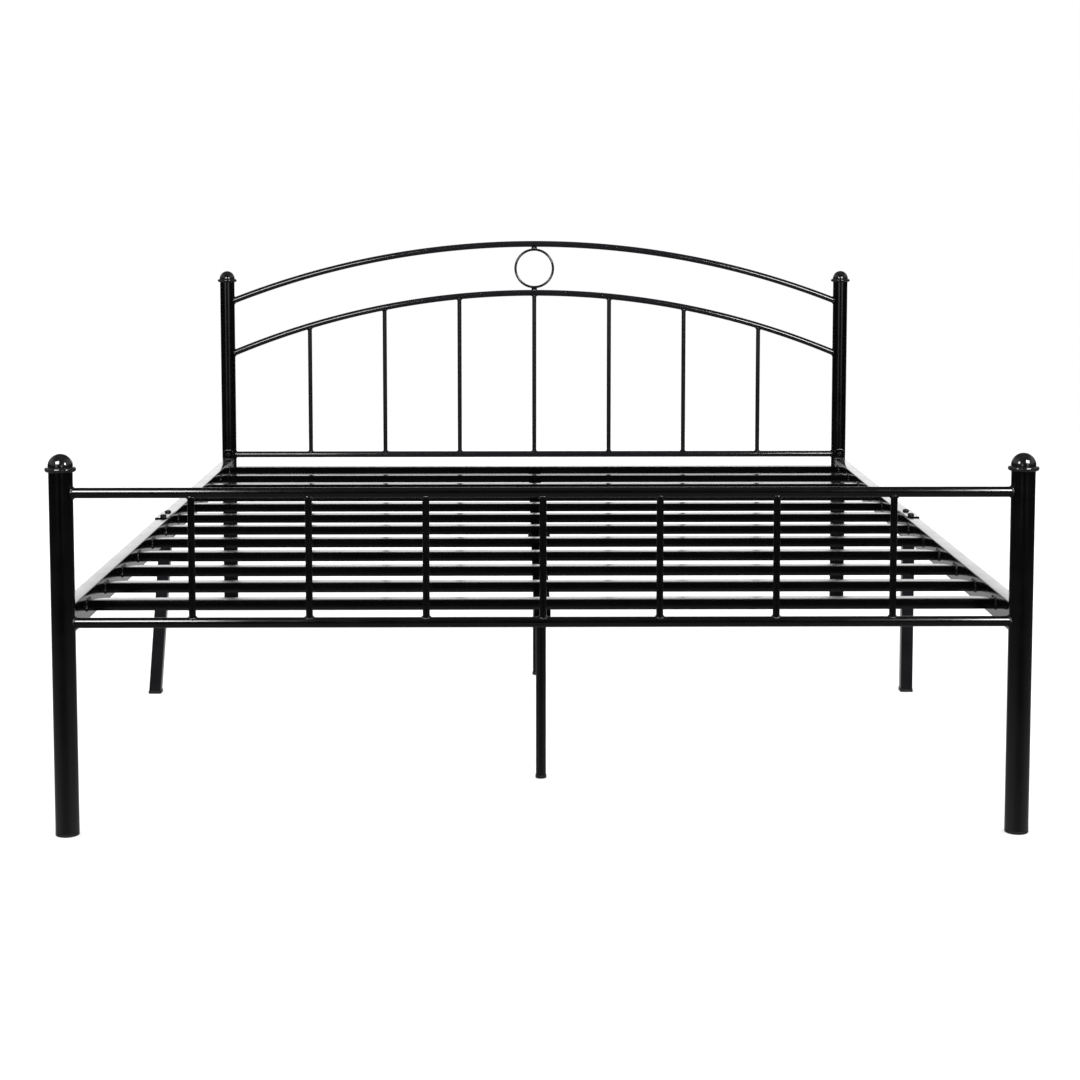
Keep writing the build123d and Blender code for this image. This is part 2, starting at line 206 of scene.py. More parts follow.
def upright_tube(node, wall, segments):
    """An upright round tube in the place of its node, as a shell."""
    low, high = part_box(node)
    middle, radius = upright(node)

    def ring(inset, along):
        height = low.z + along * (high.z - low.z)
        return [(middle.x + u, middle.y + v, height) for u, v in circle(radius - inset, segments)]

    return tube(ring, wall)


coat = (powder_coated_steel(), "powder_coated_steel")
for side in ("left", "right"):
    node = f"foot_post_{side}"
    shell = upright_tube(node, post_wall, post_segments)
    make_piece(f"footboard_post_{side}", [shell], coat, [node])

# Footboard rails
# An upper and a lower straight tube, thinner than the posts. Their ends are notched to the round of
# the posts before welding.
rail_wall = 1.2 * MM
rail_segments = 48
foot_post, foot_post_radius = upright("foot_post_right")
foot_seams = []


def cross_rail(node, post_x, post_radius, seams):
    """A straight rail between two posts as a shell; its notched ends are added to the seams."""
    low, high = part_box(node)
    middle, radius = (low + high) / 2, (high.z - low.z) / 2

    def ring(inset, along):
        points = []
        for u, v in circle(radius - inset, rail_segments):
            reach = post_x - sqrt(post_radius**2 - u**2)
            points.append((reach * (2 * along - 1), middle.y + u, middle.z + v))
        return points

    seams.extend((ring(0, 0), ring(0, 1)))
    return tube(ring, rail_wall)


for height in ("upper", "lower"):
    node = f"foot_{height}_rail"
    shell = cross_rail(node, foot_post.x, foot_post_radius, foot_seams)
    make_piece(f"footboard_{height}_rail", [shell], coat, [node])

# Footboard spindles
# Seven equal thin steel tubes, notched at both ends and welded between the rails, evenly spaced.
spindle_wall = 1 * MM
spindle_segments = 36
spindle_count = 7
foot_spindles = [f"foot_spindle_{number}" for number in range(1, spindle_count + 1)]


def middle_of(node):
    """The middle of a node's box."""
    low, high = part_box(node)
    return (low + high) / 2


def new_tree(name, inputs):
    """A Geometry Nodes tree with named inputs, and the outputs of its input node."""
    tree = bpy.data.node_groups.new(name, "GeometryNodeTree")
    for socket, kind in inputs.items():
        tree.interface.new_socket(socket, in_out="INPUT", socket_type=f"NodeSocket{kind}")
    tree.interface.new_socket("Geometry", in_out="OUTPUT", socket_type="NodeSocketGeometry")
    return tree, add_node(tree, "NodeGroupInput").outputs


def end_tree(tree, geometry, material):
    """Close a tree: real faces from its instances, then the material."""
    real = add_node(tree, "GeometryNodeRealizeInstances", {"Geometry": geometry})
    painted = add_node(
        tree, "GeometryNodeSetMaterial", {"Geometry": real.outputs["Geometry"], "Material": material}
    )
    add_node(tree, "NodeGroupOutput", {"Geometry": painted.outputs["Geometry"]})
    return tree


def grow(name, seed_mesh, tree, values):
    """Run a tree on a mesh and keep what it makes as a plain mesh object."""
    grown = new_object(name, seed_mesh)
    modifier = grown.modifiers.new("grow", "NODES")
    modifier.node_group = tree
    for socket, value in values.items():
        modifier[tree.interface.items_tree[socket].identifier] = value
    depsgraph = bpy.context.evaluated_depsgraph_get()
    mesh = bpy.data.meshes.new_from_object(grown.evaluated_get(depsgraph), depsgraph=depsgraph)
    grown.modifiers.remove(modifier)
    grown.data = mesh
    return grown


def row_tree():
    """A row of one shape: so many copies, each a step on from the last."""
    tree, given = new_tree(
        "row_of_one_shape",
        {
            "Geometry": "Geometry",
            "Shape": "Object",
            "Count": "Int",
            "Step": "Vector",
            "Material": "Material",
        },
    )
    line = add_node(
        tree, "GeometryNodeMeshLine", {"Count": given["Count"], "Offset": given["Step"]}
    )
    shape = add_node(tree, "GeometryNodeObjectInfo", {"Object": given["Shape"]})
    row = add_node(
        tree,
        "GeometryNodeInstanceOnPoints",
        {"Points": line.outputs["Mesh"], "Instance": shape.outputs["Geometry"]},
    )
    return end_tree(tree, row.outputs["Instances"], given["Material"])


def grow_row(name, shell, nodes, finish):
    """Make a row of one shell, which is drawn at the first node's place, for a row of nodes."""
    shape = bpy.data.objects.new("shape", mesh_of("shape", [shell]))
    step = (middle_of(nodes[-1]) - middle_of(nodes[0])) / (len(nodes) - 1)
    values = {"Shape": shape, "Count": len(nodes), "Step": step, "Material": finish[0]}
    row = grow(name, bpy.data.meshes.new(name), in_row, values)
    bpy.data.objects.remove(shape)
    fit(row, finish, nodes)


def spindle(node, foot, head):
    """A spindle and its end rings; foot and head give the height where a line at (x, y) meets them."""
    middle, radius = upright(node)

    def ring(inset, along):
        points = []
        for u, v in circle(radius - inset, spindle_segments):
            x, y = middle.x + u, middle.y + v
            points.append((x, y, foot(x, y) + along * (head(x, y) - foot(x, y))))
        return points

    return tube(ring, spindle_wall), [ring(0, 0), ring(0, 1)]


def rail_surface(node, side):
    """Height of a straight rail's upper (1) or under (-1) side at (x, y)."""
    low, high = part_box(node)
    middle, radius = (low + high) / 2, (high.z - low.z) / 2
    return lambda x, y: middle.z + side * sqrt(radius**2 - (y - middle.y) ** 2)


in_row = row_tree()
foot_low = rail_surface("foot_lower_rail", 1)
foot_high = rail_surface("foot_upper_rail", -1)
shell = spindle(foot_spindles[0], foot_low, foot_high)[0]
grow_row("footboard_spindles", shell, foot_spindles, coat)
for node in foot_spindles:
    foot_seams.extend(spindle(node, foot_low, foot_high)[1])

# Footboard welds
# Thin arc-weld beads round every notched tube end. They are coated over, so they show as small
# glossy swellings with the ripple of the weld pool.
bead_radius = 2.2 * MM
bead_sides = 8
ripple_pitch = 2.4 * MM
points_per_ripple = 4
ripple_depth = 0.08
unevenness = 0.9
swells_per_metre = 140


def weld_tree():
    """A bead along closed seams, swollen at each ripple and a little uneven."""
    numbers = ("Bead Radius", "Ripple Pitch", "Ripple Depth", "Unevenness", "Seed")
    inputs = {"Geometry": "Geometry", **dict.fromkeys(numbers, "Float"), "Material": "Material"}
    tree, given = new_tree("weld_bead", inputs)
    seam = add_node(tree, "GeometryNodeMeshToCurve", {"Mesh": given["Geometry"]})
    step = add_node(
        tree, "ShaderNodeMath", {0: given["Ripple Pitch"], 1: points_per_ripple}, operation="DIVIDE"
    )
    path = add_node(
        tree,
        "GeometryNodeResampleCurve",
        {"Curve": seam.outputs["Curve"], "Length": step.outputs["Value"]},
        mode="LENGTH",
    )
    along = add_node(tree, "GeometryNodeSplineParameter").outputs["Length"]
    turns = add_node(tree, "ShaderNodeMath", {0: along, 1: given["Ripple Pitch"]}, operation="DIVIDE")
    phase = add_node(tree, "ShaderNodeMath", {0: turns.outputs["Value"], 1: 2 * pi}, operation="MULTIPLY")
    wave = add_node(tree, "ShaderNodeMath", {0: phase.outputs["Value"]}, operation="SINE")
    ripple = add_node(
        tree,
        "ShaderNodeMath",
        {0: wave.outputs["Value"], 1: given["Ripple Depth"], 2: 1},
        operation="MULTIPLY_ADD",
    )
    position = add_node(tree, "GeometryNodeInputPosition").outputs["Position"]
    wander = add_node(
        tree,
        "ShaderNodeTexNoise",
        {"Vector": position, "W": given["Seed"], "Scale": swells_per_metre, "Detail": 1},
        noise_dimensions="4D",
    )
    centred = add_node(
        tree, "ShaderNodeMath", {0: wander.outputs["Fac"], 1: 0.5}, operation="SUBTRACT"
    )
    width = add_node(
        tree,
        "ShaderNodeMath",
        {0: centred.outputs["Value"], 1: given["Unevenness"], 2: ripple.outputs["Value"]},
        operation="MULTIPLY_ADD",
    )
    swollen = add_node(
        tree,
        "GeometryNodeSetCurveRadius",
        {"Curve": path.outputs["Curve"], "Radius": width.outputs["Value"]},
    )
    section = add_node(
        tree,
        "GeometryNodeCurvePrimitiveCircle",
        {"Resolution": bead_sides, "Radius": given["Bead Radius"]},
    )
    bead = add_node(
        tree,
        "GeometryNodeCurveToMesh",
        {
            "Curve": swollen.outputs["Curve"],
            "Profile Curve": section.outputs["Curve"],
            "Scale": add_node(tree, "GeometryNodeInputRadius").outputs["Radius"],
        },
    )
    return end_tree(tree, bead.outputs["Mesh"], given["Material"])


def weld(name, seams, seed):
    """Make weld beads along closed seams, as one piece."""
    points = [point for seam in seams for point in seam]
    edges = []
    for seam in seams:
        first = len(edges)
        edges.extend((first + place, first + (place + 1) % len(seam)) for place in range(len(seam)))
    lines = bpy.data.meshes.new(name)
    lines.from_pydata(points, edges, [])
    values = {
        "Bead Radius": bead_radius,
        "Ripple Pitch": ripple_pitch,
        "Ripple Depth": ripple_depth,
        "Unevenness": unevenness,
        "Seed": seed,
        "Material": coat[0],
    }
    beads = grow(name, lines, bead_along_seams, values)
    beads.data.shade_smooth()
    fit(beads, coat)


bead_along_seams = weld_tree()
weld("footboard_welds", foot_seams, seed=1.0)

# Headboard posts
# Taller than the footboard's and slightly thinner, of the same seam-welded tube.
for side in ("left", "right"):
    node = f"head_post_{side}"
    shell = upright_tube(node, post_wall, post_segments)
    make_piece(f"headboard_post_{side}", [shell], coat, [node])

# Headboard arches and rail
# Two tubes bent to circular arcs on a ring roller and notched to the posts, and a straight rail
# below them at mattress height.
arch_steps = 120
weld_root = 0.2 * MM
head_post, head_post_radius = upright("head_post_right")
head_seams = []


def arc_of(node):
    """Tube radius, bend radius and centre height of an arched tube, from its box."""
    low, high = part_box(node)
    radius = (high.y - low.y) / 2
    under_apex = high.z - 2 * radius
    reach = head_post.x - head_post_radius - weld_root
    drop = under_apex - low.z
    under = (reach**2 + drop**2) / (2 * drop)
    return radius, under + radius, under_apex - under


def arched_tube(node, seams):
    """An arched tube between the posts as a shell; its notched ends are added to the seams."""
    radius, bend, centre = arc_of(node)

    def ring(inset, along):
        points = []
        for u, v in circle(radius - inset, rail_segments):
            reach = head_post.x - sqrt(head_post_radius**2 - v**2)
            angle = asin(reach / (bend + u)) * (2 * along - 1)
            points.append(((bend + u) * sin(angle), head_post.y + v, centre + (bend + u) * cos(angle)))
        return points

    seams.extend((ring(0, 0), ring(0, 1)))
    return tube(ring, rail_wall, arch_steps)


for height in ("upper", "lower"):
    node = f"head_{height}_arch"
    shell = arched_tube(node, head_seams)
    make_piece(f"headboard_{height}_arch", [shell], coat, [node])
shell = cross_rail("head_lower_rail", head_post.x, head_post_radius, head_seams)
make_piece("headboard_rail", [shell], coat, ["head_lower_rail"])

# Headboard spindles
# Seven thin steel tubes, welded between the straight rail and the lower arch. Each is notched to the
# arch's slope at its own place.
head_spindles = [f"head_spindle_{number}" for number in range(1, spindle_count + 1)]
head_low = rail_surface("head_lower_rail", 1)
arch_radius, arch_bend, arch_centre = arc_of("head_lower_arch")


def under_arch(x, y):
    """Height of the lower arch's under side at (x, y)."""
    bend = arch_bend - sqrt(arch_radius**2 - (y - head_post.y) ** 2)
    return arch_centre + sqrt(bend**2 - x**2)


shells = []
for node in head_spindles:
    shell, seams = spindle(node, head_low, under_arch)
    shells.append(shell)
    head_seams.extend(seams)
make_piece("headboard_spindles", shells, coat, head_spindles)
weld("headboard_welds", head_seams, seed=2.0)

# Headboard ring
# A hoop of round steel rod, butt-welded shut. A lump of weld above and one below hold it between the
# arches.
ring_steps = 120
rod_segments = 24
ring_low, ring_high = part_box("head_ring")
ring_middle = (ring_low + ring_high) / 2
rod_radius = (ring_high.y - ring_low.y) / 2
hoop_radius = (ring_high.z - ring_low.z) / 2 - rod_radius


def hoop_section(angle):
    """The rod's section at an angle round the hoop."""
    points = []
    for u, v in circle(rod_radius, rod_segments):
        reach = hoop_radius + u
        x, z = ring_middle.x + reach * sin(angle), ring_middle.z + reach * cos(angle)
        points.append((x, ring_middle.y + v, z))
    return points


sections = [hoop_section(2 * pi * step / ring_steps) for step in range(ring_steps)]
make_piece("headboard_ring", [skin(sections, looped=True)], coat, ["head_ring"])


def turned(profile, x, y, segments=64):
    """A shell turned about an upright axis from (radius, height) points."""
    return skin([[(x + u, y + v, height) for u, v in circle(radius, segments)] for radius, height in profile])


nub_flare = 2.4 * MM
nub_sink = 1.6 * MM
nub_segments = 32
nub_layers = (-1, -0.75, -0.4, 0, 0.4, 0.75, 1)
nub_low, nub_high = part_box("ring_weld_nubs")
nub_waist = (nub_high.x - nub_low.x) / 2
shells = []
for bottom, top in (
    (nub_low.z, ring_low.z + rod_radius),
    (ring_high.z - rod_radius, nub_high.z),
):
    middle, half = (bottom + top) / 2, (top - bottom) / 2 + nub_sink
    profile = [(nub_waist + nub_flare * share**2, middle + half * share) for share in nub_layers]
    shells.append(turned(profile, ring_middle.x, ring_middle.y, nub_segments))
make_piece("ring_weld_lumps", shells, coat, ["ring_weld_nubs"])

# Post caps
# Glossy moulded caps pressed into the post tops by a spigot: a rolled rim that sits on the tube's
# end, and a half-round dome.
rim_height = 8.4 * MM
rim_rounding = 0.45 * rim_height
cap_neck = 1 * MM
cap_segments = 80
dome_steps = 28
dome_top_angle = 89.8
spigot_gap = 0.2 * MM
pole = 0.05 * MM


def gloss_moulded_plastic():
    """Moulded black polypropylene: smooth and glossy, with the faintest flow unevenness."""
    flow_width = 12 * MM
    material, tree, place = new_material("black_polypropylene_moulded")
    flow = add_node(tree, "ShaderNodeTexNoise", {"Vector": place, "Scale": 1 / flow_width, "Detail": 3})
    gloss = add_node(
        tree,
        "ShaderNodeMapRange",
        {"Value": flow.outputs["Fac"], "To Min": 0.08, "To Max": 0.15},
    )
    tone = add_node(
        tree,
        "ShaderNodeMix",
        {"Factor": flow.outputs["Fac"], "A": linear("#121213"), "B": linear("#1a1a1b")},
        data_type="RGBA",
    )
    feeds = {"Base Color": tone.outputs["Result"], "Roughness": gloss.outputs["Result"], "IOR": 1.49}
    return close_material(material, feeds)


def arc(middle_radius, middle_height, radius, start, end, steps=8):
    """Profile points along an arc, from a start to an end angle in degrees above the outward level."""
    angles = [radians(start + (end - start) * step / steps) for step in range(steps + 1)]
    return [(middle_radius + radius * cos(a), middle_height + radius * sin(a)) for a in angles]


cap_plastic = (gloss_moulded_plastic(), "moulded_cap")
for board in ("foot", "head"):
    bore = upright(f"{board}_post_right")[1] - post_wall
    rim_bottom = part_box(f"{board}_post_right")[1].z
    rim_top = rim_bottom + rim_height
    for side in ("left", "right"):
        node = f"{board}_cap_{side}"
        low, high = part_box(node)
        middle, rim_radius = upright(node)
        dome_base = rim_top + cap_neck
        dome_radius = high.z - dome_base
        profile = [(pole, low.z), (bore - spigot_gap, low.z), (bore - spigot_gap, rim_bottom)]
        profile += arc(rim_radius - rim_rounding, rim_bottom + rim_rounding, rim_rounding, -90, 0)
        profile += arc(rim_radius - rim_rounding, rim_top - rim_rounding, rim_rounding, 0, 90)
        profile += [(dome_radius, rim_top)]
        profile += arc(0, dome_base, dome_radius, 0, dome_top_angle, dome_steps)
        shell = turned(profile, middle.x, middle.y, cap_segments)
        make_piece(f"{board}board_cap_{side}", [shell], cap_plastic, [node])

# Post floor plugs
# Plain moulded plugs with an eased edge, pushed into the posts. They keep the steel off the floor.
plug_edge = 1.5 * MM


def matte_moulded_plastic():
    """Moulded black polyethylene: satin, with the fine grain of a spark-eroded mould.

    The real grain is about 0.1 mm. It is drawn at 1.5 mm, so that it shows.
    """
    grain_width = 1.5 * MM
    grain_depth = 0.03 * MM
    material, tree, place = new_material("black_polyethylene_moulded")
    grain = add_node(tree, "ShaderNodeTexNoise", {"Vector": place, "Scale": 1 / grain_width, "Detail": 2})
    relief = add_node(
        tree, "ShaderNodeBump", {"Height": grain.outputs["Fac"], "Strength": 1, "Distance": grain_depth}
    )
    gloss = add_node(
        tree, "ShaderNodeMapRange", {"Value": grain.outputs["Fac"], "To Min": 0.4, "To Max": 0.55}
    )
    feeds = {
        "Base Color": linear("#131314"),
        "Roughness": gloss.outputs["Result"],
        "Normal": relief.outputs["Normal"],
        "IOR": 1.5,
    }
    return close_material(material, feeds)


foot_plastic = (matte_moulded_plastic(), "moulded_foot")
plug_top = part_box("post_floor_plugs")[1].z
shells = []
for board in ("foot", "head"):
    for side in ("left", "right"):
        post_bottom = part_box(f"{board}_post_{side}")[0].z
        middle, radius = upright(f"{board}_post_{side}")
        spigot = radius - post_wall - spigot_gap
        profile = [(pole, 0)]
        profile += arc(radius - plug_edge, plug_edge, plug_edge, -90, 0)
        profile += [(radius, post_bottom), (spigot, post_bottom), (spigot, plug_top), (pole, plug_top)]
        shells.append(turned(profile, middle.x, middle.y))
make_piece("post_plugs", shells, foot_plastic, ["post_floor_plugs"])

# Side rails
# Rectangular tubes with rolled edges, two halves to a side, so that the bed packs flat. An end plate
# is welded across the outer end of each half.
side_rail_wall = 1.5 * MM
rail_corner = 1.5 * MM
rail_seams = []


def rounded_rectangle(width, height, corner, steps=5):
    """Points round a rectangle with rounded corners, about the origin."""
    points = []
    for quarter, (across, up) in enumerate(((1, 1), (-1, 1), (-1, -1), (1, -1))):
        for step in range(steps + 1):
            angle = (quarter + step / steps) * pi / 2
            u = across * (width / 2 - corner) + corner * cos(angle)
            v = up * (height / 2 - corner) + corner * sin(angle)
            points.append((u, v))
    return points


def rectangular_tube(node, wall, corner, turned_across=False):
    """A tube that fills its node's box, along the bed or turned across it, and its section at both ends."""
    low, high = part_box(node)
    middle, size = (low + high) / 2, high - low
    width = size.y if turned_across else size.x

    def ring(inset, along):
        x, y, _ = low + along * size
        outline = rounded_rectangle(width - 2 * inset, size.z - 2 * inset, corner - inset / 2)
        if turned_across:
            return [(x, middle.y + u, middle.z + v) for u, v in outline]
        return [(middle.x + u, y, middle.z + v) for u, v in outline]

    return tube(ring, wall), (ring(0, 0), ring(0, 1))


for side in ("left", "right"):
    for half in ("front", "rear"):
        node = f"side_rail_{half}_{side}"
        shell, ends = rectangular_tube(node, side_rail_wall, rail_corner)
        make_piece(f"rail_{half}_{side}", [shell], coat, [node])
        rail_seams.append(ends[0] if half == "front" else ends[1])

# Rail end plates
# Flat steel plates with rounded corners, taller than the rails, so that a bolt above and one below
# draw each rail onto its post.
plate_edge = 0.7 * MM
plate_ease = 0.3 * plate_edge
plate_corner = 8 * MM
plate_thickness = 4 * MM


def plate(width, height, corner, thickness, place):
    """A plate with rounded corners and softened edges; place(u, v, depth) sets its points."""
    layers = (
        (0, 2 * plate_edge),
        (0, plate_edge),
        (plate_ease, plate_ease),
        (plate_edge, 0),
        (thickness - plate_edge, 0),
        (thickness - plate_ease, plate_ease),
        (thickness, plate_edge),
        (thickness, 2 * plate_edge),
    )
    rings = []
    for depth, inset in layers:
        outline = rounded_rectangle(width - 2 * inset, height - 2 * inset, corner - inset)
        rings.append([place(u, v, depth) for u, v in outline])
    return skin(rings)


plates_low, plates_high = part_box("rail_end_plates")
rail_low, rail_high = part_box("side_rail_front_right")
plate_width = rail_high.x - rail_low.x
plate_height = plates_high.z - plates_low.z
plate_middle_z = (plates_low.z + plates_high.z) / 2
shells = []
for x in (-foot_post.x, foot_post.x):
    for start in (plates_low.y, plates_high.y - plate_thickness):

        def standing(u, v, depth):
            """A point of a plate that stands across the end of a rail."""
            return x + u, start + depth, plate_middle_z + v

        shells.append(plate(plate_width, plate_height, plate_corner, plate_thickness, standing))
make_piece("rail_plates", shells, coat, ["rail_end_plates"])

# Slats
# Twelve flat steel tubes that carry the mattress, welded between the inner faces of the rails and set
# a little below their top, so that the mattress can't slide off.
slat_wall = 1.2 * MM
slat_corner = 1 * MM
slat_count = 12
slats = [f"slat_{number:02d}" for number in range(1, slat_count + 1)]
slat_tubes = [rectangular_tube(node, slat_wall, slat_corner, turned_across=True) for node in slats]
grow_row("slat_row", slat_tubes[0][0], slats, coat)
for _, ends in slat_tubes:
    rail_seams.extend(ends)

# Centre beam
# A lighter rectangular tube under the slats, in two halves like the rails, tied by a folded channel
# that wraps its joint and is bolted through from the side.
beam_wall = 1.5 * MM
beam_corner = 1.5 * MM
channel_thickness = 2 * MM
for half in ("front", "rear"):
    node = f"centre_beam_{half}"
    shell = rectangular_tube(node, beam_wall, beam_corner)[0]
    make_piece(f"beam_{half}", [shell], coat, [node])


def folded_strip(pairs, span):
    """A strip folded from sheet: pairs of outer and inner points (x, z); span(x) gives its Y at both ends."""
    points = []
    for (outer_x, outer_z), (inner_x, inner_z) in pairs:
        start, end = span(inner_x)
        points += [(outer_x, start, outer_z), (outer_x, end, outer_z)]
        points += [(inner_x, start, inner_z), (inner_x, end, inner_z)]
    faces = [(0, 1, 3, 2), (len(points) - 4, len(points) - 3, len(points) - 1, len(points) - 2)]
    for place in range(0, len(points) - 4, 4):
        ahead = place + 4
        faces += [
            (place, place + 1, ahead + 1, ahead),
            (place + 2, place + 3, ahead + 3, ahead + 2),
            (place, place + 2, ahead + 2, ahead),
            (place + 1, place + 3, ahead + 3, ahead + 1),
        ]
    return points, faces


def fold(corner_x, corner_z, thickness, start, steps=5):
    """Outer and inner points round a right-angled fold, from a start angle in degrees, turning left."""
    pairs = []
    for step in range(steps + 1):
        angle = radians(start + 90 * step / steps)
        outer = (corner_x + thickness * cos(angle), corner_z + thickness * sin(angle))
        pairs.append((outer, (corner_x, corner_z)))
    return pairs


channel_low, channel_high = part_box("beam_joining_channel")
inner_left = channel_low.x + channel_thickness
inner_right = channel_high.x - channel_thickness
inner_floor = channel_low.z + channel_thickness
pairs = [((channel_low.x, channel_high.z), (inner_left, channel_high.z))]
pairs += fold(inner_left, inner_floor, channel_thickness, 180)
pairs += fold(inner_right, inner_floor, channel_thickness, 270)
pairs += [((channel_high.x, channel_high.z), (inner_right, channel_high.z))]
shell = folded_strip(pairs, lambda x: (channel_low.y, channel_high.y))
make_piece("beam_channel", [shell], coat, ["beam_joining_channel"])

# Joining angles
# Folded steel angles over the butt joints of the rails: a flange on top with rounded inner corners
# and a skirt down the outer face.
angle_thickness = 2.5 * MM
angle_corner = 8 * MM
flange_steps = 8
for side, sign in (("left", -1), ("right", 1)):
    node = f"joining_angle_{side}"
    low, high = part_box(node)
    flange_edge = low.x if sign > 0 else high.x
    outer_face = high.x if sign > 0 else low.x
    fold_x = outer_face - sign * angle_thickness
    under = high.z - angle_thickness

    def span(x):
        """The flange's ends at x, drawn in round its inner corners."""
        into = min(abs(x - flange_edge), angle_corner)
        drawn_in = angle_corner - sqrt(angle_corner**2 - (angle_corner - into) ** 2)
        return low.y + drawn_in, high.y - drawn_in

    pairs = []
    for step in range(flange_steps + 1):
        x = flange_edge + sign * angle_corner * (1 - cos(pi / 2 * step / flange_steps))
        pairs.append(((x, high.z), (x, under)))
    for step in range(flange_steps + 1):
        turn = pi / 2 * step / flange_steps
        outer = (fold_x + sign * angle_thickness * sin(turn), under + angle_thickness * cos(turn))
        pairs.append((outer, (fold_x, under)))
    pairs.append(((outer_face, low.z), (fold_x, low.z)))
    shell = folded_strip(pairs, span)
    make_piece(f"joint_angle_{side}", [shell], coat, [node])

# Side legs
# Square tubes under the rail joints, each welded to a flat plate that the joint bolts pass through.
# The left one stands splayed at the floor.
side_leg_wall = 1.5 * MM
side_leg_corner = 2.5 * MM
leg_plates_low, leg_plates_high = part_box("side_leg_plates")
leg_plate_thickness = leg_plates_high.z - leg_plates_low.z
leg_plate_length = leg_plates_high.y - leg_plates_low.y
joint_y = (leg_plates_low.y + leg_plates_high.y) / 2
shells = []
for x in (-foot_post.x, foot_post.x):

    def lying(u, v, depth):
        """A point of a plate that lies under a joint."""
        return x + u, joint_y + v, leg_plates_low.z + depth

    shells.append(plate(plate_width, leg_plate_length, rail_corner, leg_plate_thickness, lying))
make_piece("leg_plates", shells, coat, ["side_leg_plates"])

side_leg_feet = {}
for side, sign in (("left", -1), ("right", 1)):
    low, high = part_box(f"side_leg_{side}")
    leg_width = high.y - low.y
    splay = high.x - low.x - leg_width
    top_x = sign * foot_post.x
    side_leg_feet[side] = top_x + sign * splay

    def ring(inset, along):
        width = leg_width - 2 * inset
        middle_x = side_leg_feet[side] - along * sign * splay
        height = low.z + along * (high.z - low.z)
        outline = rounded_rectangle(width, width, side_leg_corner - inset / 2)
        return [(middle_x + u, joint_y + v, height) for u, v in outline]

    make_piece(f"leg_{side}", [tube(ring, side_leg_wall)], coat, [f"side_leg_{side}"])
    rail_seams.append(ring(0, 1))

# Rail and slat welds
# Arc-weld beads round the slat ends, the rail ends on their plates and the leg tops, coated over.
weld("rail_welds", rail_seams, seed=3.0)

# Centre legs
# Slim round steel tubes, screwed up against the beam by a threaded stud.
centre_leg_wall = 1.2 * MM
for place in ("front", "rear"):
    node = f"centre_leg_{place}"
    shell = upright_tube(node, centre_leg_wall, rail_segments)
    make_piece(f"middle_leg_{place}", [shell], coat, [node])

# Leg feet
# Moulded plastic feet pushed into the legs, square on the side legs and round on the centre legs.
foot_overhang = 1 * MM
foot_edge = 1.2 * MM
square_foot_steps = 4
foot_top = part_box("side_leg_right")[0].z
feet_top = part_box("leg_feet")[1].z
shells = []
for side, x in side_leg_feet.items():
    pad_width = leg_width + 2 * foot_overhang
    spigot_width = leg_width - 2 * side_leg_wall - 2 * spigot_gap
    lean = (foot_post.x * (-1 if side == "left" else 1) - x) / (leg_plates_low.z - foot_top)
    edge = arc(0, foot_edge, foot_edge, -90, 0, square_foot_steps)
    layers = [(pad_width - 2 * (foot_edge - reach), height) for reach, height in edge]
    layers += [(pad_width, foot_top), (spigot_width, foot_top), (spigot_width, feet_top)]
    rings = []
    for width, height in layers:
        shift = lean * max(height - foot_top, 0)
        outline = rounded_rectangle(width, width, side_leg_corner)
        rings.append([(x + shift + u, joint_y + v, height) for u, v in outline])
    shells.append(skin(rings))
for place in ("front", "rear"):
    middle, radius = upright(f"centre_leg_{place}")
    pad_radius = radius + foot_overhang
    spigot = radius - centre_leg_wall - spigot_gap
    profile = [(pole, 0)]
    profile += arc(pad_radius - foot_edge, foot_edge, foot_edge, -90, 0)
    profile += [(pad_radius, foot_top), (spigot, foot_top), (spigot, feet_top), (pole, feet_top)]
    shells.append(turned(profile, middle.x, middle.y))
make_piece("feet", shells, foot_plastic, ["leg_feet"])

# Bolts
# Round-head socket bolts of blackened steel: two through each end plate into its post, two through
# each rail joint, two across the beam channel. A headless stud holds each centre leg.
bolt_radius = 4 * MM
bolt_head_radius = 7 * MM
bolt_head_height = 4.4 * MM
bolt_rim_height = 0.9 * MM
bolt_top_radius = 4.2 * MM
bolt_shoulder_steps = 8
socket_across_flats = 5 * MM
socket_depth = 3 * MM
bolt_segments = 48
shank_segments = 32
shank_ease = 0.06
shank_taper = 0.8
end_bolt_length = 14 * MM
nut_height = 6.5 * MM
bolt_tip = 3 * MM
joint_bolt_spacing = 60 * MM
beam_bolt_spacing = 60 * MM
end_bolt_offset = 11 * MM
stud_length = 28 * MM
stud_depth = 14 * MM


def blackened_steel():
    """Blackened zinc-plated steel: dark, metallic, faintly uneven where the plating pooled."""
    stain_width = 3 * MM
    material, tree, place = new_material("bolt_steel_black_zinc")
    stain = add_node(tree, "ShaderNodeTexNoise", {"Vector": place, "Scale": 1 / stain_width, "Detail": 4})
    gloss = add_node(
        tree, "ShaderNodeMapRange", {"Value": stain.outputs["Fac"], "To Min": 0.2, "To Max": 0.42}
    )
    tone = add_node(
        tree,
        "ShaderNodeMix",
        {"Factor": stain.outputs["Fac"], "A": linear("#1c1c1e"), "B": linear("#303032")},
        data_type="RGBA",
    )
    feeds = {"Base Color": tone.outputs["Result"], "Metallic": 1, "Roughness": gloss.outputs["Result"]}
    return close_material(material, feeds)


def hexagon(across_flats, segments):
    """Points round a hexagon, at equal angles."""
    points = []
    for place in range(segments):
        angle = 2 * pi * place / segments
        reach = across_flats / 2 / cos((angle % (pi / 3)) - pi / 6)
        points.append((reach * cos(angle), reach * sin(angle)))
    return points


